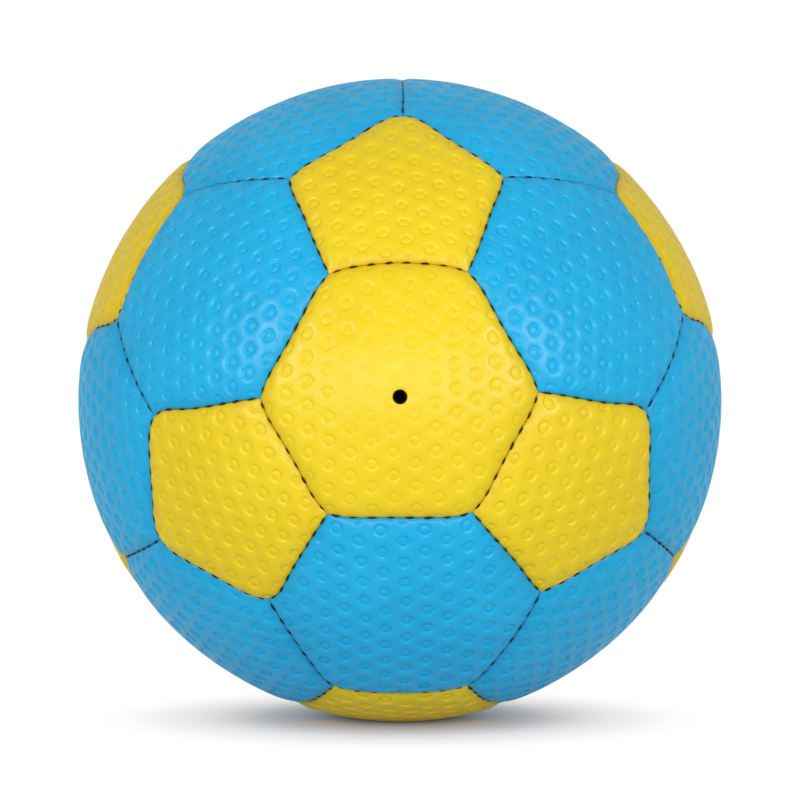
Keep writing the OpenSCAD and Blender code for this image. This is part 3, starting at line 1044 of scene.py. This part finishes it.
# %% Lay a cut sheet in the ball
def laid(name, cuts, material):
    """One mesh made of sheets, each laid behind its panel."""
    points, flat, faces, count = [], [], [], 0
    for panel, sheet in cuts:
        places, depth = np.concatenate(sheet.places), np.concatenate(sheet.depths)
        turned = (on_ball(places) * (ball_r - depth)[:, None]) @ np.array(panel.turned).T
        points.append(settle(turned))
        flat.append(np.column_stack((places, depth)))
        faces += [tuple(count + k for k in face) for face in sheet.faces]
        count += len(places)
    mesh = bpy.data.meshes.new(name)
    mesh.from_pydata(np.concatenate(points).tolist(), [], faces)
    cut = mesh.attributes.new("cut", "FLOAT_VECTOR", "POINT")
    cut.data.foreach_set("vector", np.concatenate(flat).astype(np.float32).ravel())
    mesh.shade_smooth()
    mesh.set_sharp_from_angle(angle=math.radians(40))
    mesh.materials.append(material)
    print(name, "has", len(mesh.polygons), "faces")
    return mesh


# %% Cut the linings
lining_gap, lining_depth = 1.4 * mm, 1.35 * mm  # away from the seam, and under the crown
collar_r = 4.7 * mm
recess_r, recess_depth = 17.2 * mm, 2.9 * mm


def lining_sheet(panel):
    """A lining as a sheet with a thickness."""
    hole = panel.name == "valve_panel"
    outline, collar = border_row(panel, lining_gap, 18), circle(collar_r, hole_points)
    grid = square_grid(grid_rows * 4 * mm)
    grid = grid[seam_distances(panel, grid)[0] > lining_gap + 2 * mm]
    if hole:
        grid = grid[from_middle(grid) > collar_r + 2 * mm]
    given = [outline, collar, grid] if hole else [outline, grid]
    places, faces, moved = join(np.concatenate(given))
    if hole:
        faces = outside_hole(faces, places, collar_r)
    sheet = Sheet(places, faces, lining_depth)
    rim_ids = [moved[k] for k in range(len(outline))]
    rim_ids = sheet.walls(rim_ids, [(outline, 2.4 * mm), (outline, cover_t)])
    hole_ids, recess = [], circle(recess_r, hole_points if hole else 0)
    if hole:
        rings = [(r, recess_depth) for r in (collar_r, 9 * mm, 13 * mm, recess_r)]
        rings.append((recess_r, cover_t))
        stations = [(circle(r, hole_points)[::-1], depth) for r, depth in rings]
        collar_ids = [moved[len(outline) + k] for k in range(hole_points)]
        hole_ids = sheet.walls(collar_ids[::-1], stations)[::-1]
    sheet.underside(panel, rim_ids, outline, cover_t, hole_ids, recess)
    return sheet


for name, sides in (("hexagon_linings", 6), ("pentagon_linings", 5)):
    cuts = [(p, lining_sheet(p)) for p in panels[1:] if p.sides == sides]
    keep(laid(name + "_laminate", cuts, lining_cloth), "lining_cloth", name)
mesh = laid("valve_panel_lining_laminate", [(panels[0], lining_sheet(panels[0]))], lining_cloth)
keep(mesh, "lining_cloth", "valve_panel_lining")

# %% [markdown]
# The patch is a disc cut with pinking shears, whose zigzag edge doesn't fray. It is built
# as a chain of rings: out along its top, down its edge, back along its underside and up the
# hole, so it is closed by itself.

# %% Glue the patch behind the valve panel
patch_r, patch_t = 17 * mm, 0.5 * mm


def patch_sheet():
    """The patch as a closed sheet with a zigzag edge."""
    around, top = 96, cover_t - patch_t
    teeth = 1 - 0.03 * (np.arange(around) % 2)
    rings = [circle(r, around) for r in (collar_r, 8 * mm, 12 * mm, 15.5 * mm)]
    rings.append(circle(patch_r, around) * teeth[:, None])
    sheet, start = Sheet(rings[0], [], top), list(range(around))
    stations = [(ring, top) for ring in rings[1:]] + [(ring, cover_t) for ring in rings[::-1]]
    sheet.faces += strip(sheet.walls(start, stations), start)
    return sheet


mesh = laid("valve_patch_cloth", [(panels[0], patch_sheet())], patch_cloth)
keep(mesh, "patch_cloth", "valve_patch")

# %% [markdown]
# ## The bladder
#
# The airtight layer is a rubber sphere, moulded with six raised lines where its segments
# meet. A sphere from the menu would have a closed pole where the valve goes in. Here the
# rings start at the hole, so they also make its edge, and they stand closer together
# across each raised line.

# %% Blow up the bladder
bladder_r, bladder_inner_r = 90.2 * mm, 89.4 * mm
raised, raised_width = 0.14 * mm, 0.9 * mm  # the lines where its segments meet


def bladder_sheet():
    """The bladder as rings around the ball, from its hole to the far side and back inside."""
    outer, inner = ball_r - bladder_r, ball_r - bladder_inner_r
    hole = math.asin(collar_r / bladder_r)
    steps = np.array([0, 0.3, 0.6, 1, 1.6, 3, 6, 10, 14, 18, 22, 26])
    turns = np.radians([60 * k + s for k in range(6) for s in [*-steps[:0:-1], *steps, 30]])
    around, rows = len(turns), 60
    off_line = np.abs((turns * 6 / (2 * math.pi) + 0.5) % 1 - 0.5) * math.pi / 3
    arcs = [hole + (math.pi - hole) * k / rows for k in range(rows)]
    rings = [ball_r * a * np.column_stack((np.cos(turns), np.sin(turns))) for a in arcs]
    across = [off_line * ball_r * math.sin(a) / raised_width for a in arcs]
    depths = [outer - raised * np.exp(-(width**2)) for width in across]
    sheet, start = Sheet(rings[0], [], depths[0]), list(range(around))
    ids, pole = sheet.walls(start, list(zip(rings, depths))[1:]), np.array([[math.pi * ball_r, 0]])
    tip = sheet.loop(pole, outer)[0]
    sheet.faces += [(ids[k], tip, ids[(k + 1) % around]) for k in range(around)]
    tip, ids = sheet.loop(pole, inner)[0], sheet.loop(rings[-1], inner)
    sheet.faces += [(tip, ids[k], ids[(k + 1) % around]) for k in range(around)]
    ids = sheet.walls(ids, [(ring, inner) for ring in rings[-2::-1]])
    sheet.faces += strip(ids, start)
    return sheet


mesh = laid("bladder_rubber", [(panels[0], bladder_sheet())], bladder_rubber)
keep(mesh, "bladder_rubber", "bladder")

# %% [markdown]
# ## The thread
#
# The thread shows only where it crosses from panel to panel, as eight short stitches on
# each seam. One small piece of thread is copied along all the seams, a little turned and
# stretched each time. The cover is sewn in two halves and then closed, so the thread is
# three pieces, and each seam goes to the half that its panels belong to.

# %% Shape one stitch
thread_r = 0.28 * mm
stitch_length = 3.1 * mm  # with both ends, which dive between the panels


def stitch_piece():
    """A short twisted thread along X that dips at both ends. Z points out of the ball."""
    around, along = 8, 7
    points, faces = [], []
    for i in range(along + 1):
        t = i / along
        x = stitch_length * (t - 0.5)
        sag = -0.9 * mm * abs(2 * t - 1) ** 3.5
        r = thread_r * (0.7 + 0.3 * math.sin(math.pi * t) ** 0.5)
        for k in range(around):
            a = 2 * math.pi * k / around
            ply = 1 + 0.16 * math.cos(2 * (a - 4.2 * t))
            points.append((x, r * ply * math.cos(a), sag + r * ply * math.sin(a)))
    for i in range(along):
        this_end, next_end = i * around, (i + 1) * around
        for k in range(around):
            n = (k + 1) % around
            faces.append((this_end + k, this_end + n, next_end + n, next_end + k))
    faces.append(tuple(range(around))[::-1])
    faces.append(tuple(along * around + k for k in range(around)))
    mesh = bpy.data.meshes.new("stitch")
    mesh.from_pydata(points, [], faces)
    return new_object("stitch", mesh)


one_stitch = stitch_piece()
print("One stitch has", len(one_stitch.data.polygons), "faces")

# %% [markdown]
# A line runs along each seam, and the tree sets the stitches on it: it cuts the line in
# even steps, turns each stitch along the line with its back to the ball's centre, and
# adds the small differences of hand work from a fixed seed.

# %% Build the tree that sews
def thread_tree():
    tree, do, given = new_tree("sew_seams", {
        "Stitch": ("Object", None),
        "Stitches on a seam": ("Int", stitches_per_seam),
        "Slant": ("Float", math.radians(8)),
        "Slant spread": ("Float", math.radians(7)),
        "Stretch": ("Float", 0.14),
        "Sink": ("Float", 0.3 * mm),
        "Seed": ("Int", 7),
        "Thread": ("Material", None),
    })
    def at_random(low, high, seed_step):
        seed = do.math("ADD", given["Seed"], seed_step)
        sockets = {"Min": low, "Max": high, "Seed": seed}
        made = do.node("FunctionNodeRandomValue", sockets, data_type="FLOAT_VECTOR")
        return made.outputs["Value"]

    # Marks along the seam, each with X ahead and Z out of the ball
    line = do.node("GeometryNodeMeshToCurve", {"Mesh": given["Geometry"]}).outputs[0]
    sockets = {"Curve": line, "Count": given["Stitches on a seam"]}
    marks = do.node("GeometryNodeCurveToPoints", sockets, mode="COUNT").outputs
    sockets = {"Vector": marks["Tangent"]}
    ahead = do.node("FunctionNodeAlignRotationToVector", sockets, axis="X").outputs[0]
    outwards = do.vector("NORMALIZE", do.node("GeometryNodeInputPosition").outputs[0])
    sockets = {"Rotation": ahead, "Vector": outwards}
    settings = {"axis": "Z", "pivot_axis": "X"}
    upright = do.node("FunctionNodeAlignRotationToVector", sockets, **settings).outputs[0]

    # A random slant, whose two limits are found among the node's sockets by their kind
    least_slant = do.math("SUBTRACT", given["Slant"], given["Slant spread"])
    most_slant = do.math("ADD", given["Slant"], given["Slant spread"])
    slant = do.node("FunctionNodeRandomValue", {"Seed": given["Seed"]}, data_type="FLOAT")
    limits = [socket for socket in slant.inputs if socket.type == "VALUE"]
    do.fill(limits[0], least_slant)
    do.fill(limits[1], most_slant)
    slant_angle = next(socket for socket in slant.outputs if socket.type == "VALUE")
    sockets = {"Axis": (0, 0, 1), "Angle": slant_angle}
    turn = do.node("FunctionNodeAxisAngleToRotation", sockets).outputs[0]
    sockets = {0: upright, 1: turn}
    turned = do.node("FunctionNodeRotateRotation", sockets, rotation_space="LOCAL").outputs[0]

    # A random size and depth, and the copies
    most = do.math("ADD", given["Stretch"], 1.0)
    least = do.math("SUBTRACT", 1.0, given["Stretch"])
    size = at_random(do.xyz(least, least, 1.0), do.xyz(most, most, 1.0), 1.0)
    shape = do.node("GeometryNodeObjectInfo", {"Object": given["Stitch"]}).outputs["Geometry"]
    lowest = do.xyz(0.0, 0.0, do.math("MULTIPLY", given["Sink"], -1.0))
    sunk = at_random(lowest, (0, 0, 0), 2.0)
    sockets = {"Points": marks["Points"], "Instance": shape, "Rotation": turned, "Scale": size}
    copies = do.node("GeometryNodeInstanceOnPoints", sockets).outputs[0]
    sockets = {"Instances": copies, "Translation": sunk}
    copies = do.node("GeometryNodeTranslateInstances", sockets).outputs[0]
    real = do.node("GeometryNodeRealizeInstances", {"Geometry": copies}).outputs[0]
    smooth = do.node("GeometryNodeSetShadeSmooth", {"Geometry": real}).outputs[0]
    sockets = {"Geometry": smooth, "Material": given["Thread"]}
    done = do.node("GeometryNodeSetMaterial", sockets).outputs[0]
    do.node("NodeGroupOutput", {0: done})
    return tree


def thread_material():
    """Black waxed polyester: dull in the lay of its fibres, with a little shine of wax."""
    material, do = new_material("waxed_thread")
    place = do.node("ShaderNodeTexCoord").outputs["Object"]
    fibre = do.noise(place, 2600.0, 3.0)
    tone = shade(do, (0.003, 0.002, 0.002), (0.018, 0.014, 0.012), fibre)
    bump = do.bump(fibre, 0.7, 0.06 * mm)
    rough = do.math("MULTIPLY_ADD", fibre, 0.3, 0.4)
    do.principled({
        "Base Color": tone, "Roughness": rough, "Normal": bump, "Specular IOR Level": 0.2,
    })
    return material


sewing_rule = thread_tree()
black_thread = thread_material()
print("The sewing rule has", len(sewing_rule.nodes), "nodes")

# %% [markdown]
# Every pair of panels that stand side by side shares a seam. Its line is an arc across the
# way from one middle to the other, which it divides as their edge angles do. It then
# settles with the panels.

# %% Sew the panels together
thread_level = 92.7 * mm  # the thread lies between the two rolled edges, under the crown
line_steps = 20  # straight pieces in the line along a seam


def seam_line(a, b):
    """Points along the seam between two panels, from the first stitch to the last."""
    share = edge_angle(a.sides) / (edge_angle(a.sides) + edge_angle(b.sides))
    out_a, out_b = outward[a.name], outward[b.name]
    middle = out_a.slerp(out_b, share)
    along = out_a.cross(out_b).normalized()
    half = seam_angle / 2 * (1 - 1 / stitches_per_seam)
    turns = [half * (2 * k / line_steps - 1) for k in range(line_steps + 1)]
    return [thread_level * (math.cos(t) * middle + math.sin(t) * along) for t in turns]


def seams_between():
    """All seams, sorted by how many of their two panels are in the front half."""
    sorted_lines = {0: [], 1: [], 2: []}
    for a, b in combinations(panels, 2):
        if side_by_side(a, b):
            front = (outward[a.name].y < 0) + (outward[b.name].y < 0)
            sorted_lines[front].append(seam_line(a, b))
    return sorted_lines


seam_lines = seams_between()
print("Seams behind, between and in front:", [len(seam_lines[k]) for k in (0, 1, 2)])
threads = ((2, "front_half_thread"), (0, "rear_half_thread"), (1, "closing_seam_thread"))
for front, node_name in threads:
    points = [p for line in seam_lines[front] for p in line]
    edges = [(k, k + 1) for k in range(len(points) - 1) if (k + 1) % (line_steps + 1)]
    lines = bpy.data.meshes.new(node_name + "_lines")
    lines.from_pydata(points, edges, [])
    source = new_object(lines.name, lines)
    inputs = {"Stitch": one_stitch, "Thread": black_thread, "Seed": 7 + front}
    mesh = form(source, sewing_rule, inputs, node_name + "_stitches")
    place_on_ball(mesh, Matrix.Identity(3))
    keep(mesh, "black_thread", node_name)
    print(node_name, "has", len(mesh.polygons), "faces")
bpy.data.objects.remove(one_stitch)

# %% [markdown]
# ## The valve
#
# The valve is two turned shapes, a body with a flange and a plug that is pushed into it.
# The CAD model has both exactly and a mesh could only repeat them, so they stay and get
# their rubber. Through the needle hole one sees the head of the plug.

# %% Keep the valve as the CAD model has it
for name in ("valve_body", "valve_plug"):
    nodes[name].data.materials.clear()
    nodes[name].data.materials.append(valve_rubber)
    print(name, "stays as it is, in", valve_rubber.name)

# %% [markdown]
# ## The floor
#
# The photograph shows a white ground with a soft shadow that is darkest where the ball
# touches it. The floor has a diffuse paint there, which takes the shadow, and fades to
# plain white further out, so that no edge of it can be seen. That fade and the darker paint
# under the middle also paint the shadow's falloff. The leather throws its own colour on the
# floor: yellow under the middle and blue beside it. The photographed shadow is grey, so the
# paint is tinted against that light.

# %% Lay the floor
floor_edge = 6.0  # metres, far outside the picture
shadow_reach = 90 * mm
# How white the floor is, over the share of that reach. Below 1 it is a painted shadow
painted_shadow_fade = [
    (0, 0), (0.15, 0.03), (0.22, 0.09), (0.31, 0.19), (0.4, 0.275), (0.49, 0.405),
    (0.555, 0.525), (0.645, 0.68), (0.735, 0.79), (0.82, 0.875), (0.91, 0.96), (1, 1),
]


def looked_at(do):
    """1 for rays of the camera, also after a reflection or through glass."""
    paths = do.node("ShaderNodeLightPath").outputs
    seen = do.math("MAXIMUM", paths["Is Camera Ray"], paths["Is Glossy Ray"])
    return do.math("MAXIMUM", seen, paths["Is Transmission Ray"])


def floor_material():
    """Paint that takes the ball's shadow and fades to plain white further out, painting the
    shadow's falloff.
    """
    material, do = new_material("studio_floor")
    place = do.node("ShaderNodeTexCoord").outputs["Object"]
    x, y, _ = do.node("ShaderNodeSeparateXYZ", {0: place}).outputs
    from_contact = do.vector("LENGTH", do.xyz(x, do.math("SUBTRACT", y, 10 * mm), 0.0))
    share = do.math("MINIMUM", do.math("DIVIDE", from_contact, shadow_reach), 1.0)
    white = do.curve(share, painted_shadow_fade)
    beside = do.ranged(do.math("ABSOLUTE", x), 10 * mm, 45 * mm)
    # Darker paint under the middle, as painted shadow, and tinted against the leather's light
    tint = shade(do, (0.40, 0.42, 0.58), (0.90, 0.71, 0.60), beside)
    lit = do.node("ShaderNodeBsdfDiffuse", {"Color": tint}).outputs[0]
    plain = do.node("ShaderNodeEmission", {"Color": (1, 1, 1, 1), "Strength": 1.0}).outputs[0]
    shown = do.node("ShaderNodeMixShader", {0: white, 1: lit, 2: plain}).outputs[0]
    paint = do.node("ShaderNodeBsdfDiffuse", {"Color": (0.8, 0.8, 0.8, 1)}).outputs[0]
    mixed = do.node("ShaderNodeMixShader", {0: looked_at(do), 1: paint, 2: shown}).outputs[0]
    do.node("ShaderNodeOutputMaterial", {"Surface": mixed})
    return material


def stage_floor():
    """A flat square at the ball's lowest point."""
    mesh = bpy.data.meshes.new("floor")
    ends = ((-1, -1), (1, -1), (1, 1), (-1, 1))
    corners = [(floor_edge * x, floor_edge * y, -ball_r) for x, y in ends]
    mesh.from_pydata(corners, [], [(0, 1, 2, 3)])
    mesh.materials.append(floor_material())
    floor = new_object("floor", mesh)
    return floor


print("The floor lies at", round(stage_floor().data.vertices[0].co.z / mm, 1), "mm")

# %% [markdown]
# ## Studio light
#
# A wide box in front gives the even light of a product photograph. Two smaller ones, left
# and right of it, draw the soft glares on the hexagons beside the valve panel. The world
# is white for the camera and in reflections, and adds only a weak light to the leather.

# %% Set up the world and the lamps
world = bpy.data.worlds.new("studio")
bpy.context.scene.world = world
world.use_nodes = True
world.node_tree.nodes.clear()
sky = Steps(world.node_tree)
white = (1, 1, 1, 1)
soft_light = sky.node("ShaderNodeBackground", {"Color": white, "Strength": 0.24}).outputs[0]
white_wall = sky.node("ShaderNodeBackground", {"Color": white, "Strength": 1.0}).outputs[0]
sockets = {0: looked_at(sky), 1: soft_light, 2: white_wall}
mixed = sky.node("ShaderNodeMixShader", sockets).outputs[0]
sky.node("ShaderNodeOutputWorld", {"Surface": mixed})


def soft_box(name, where, width, height, power):
    """A rectangular studio lamp that looks at the ball."""
    lamp = bpy.data.lights.new(name, "AREA")
    lamp.shape, lamp.size, lamp.size_y, lamp.energy = "RECTANGLE", width, height, power
    made = new_object(name, lamp)
    made.location = where
    made.rotation_mode = "QUATERNION"
    made.rotation_quaternion = (-Vector(where)).to_track_quat("-Z", "Y")
    print("Lamp", name, "gives", power, "W")


soft_box("front", (0, -1.7, 0.2), 2.4, 0.56, 13.4)
soft_box("left", (-0.99, -0.98, 0.4), 0.42, 0.55, 5.1)
soft_box("right", (0.96, -1.01, 0.4), 0.42, 0.55, 5.1)

# %% [markdown]
# ## The camera
#
# The valve stands a little above the middle of the ball in the photograph, so the camera
# looks up by half a degree. Its distance follows from how much of the far pentagons is in
# sight at the rim, and the focal length from the size of the ball in the frame.

# %% Place the camera
distance, focal, film_width = 0.846, 129.4, 36.0  # the first in metres, the others in mm
drop = math.radians(-0.5)
lens = bpy.data.cameras.new("camera")
lens.lens, lens.sensor_width = focal, film_width
camera = new_object("camera", lens)
camera.location = (0, -distance * math.cos(drop), distance * math.sin(drop))
camera.rotation_euler = (math.pi / 2 - drop, 0, 0)
bpy.context.scene.camera = camera
bpy.context.scene.view_settings.view_transform = "Standard"
print(f"The camera stands {distance} m away with a lens of {focal} mm")

# %% [markdown]
# ## The size
#
# The dressed ball may not outgrow the CAD model.
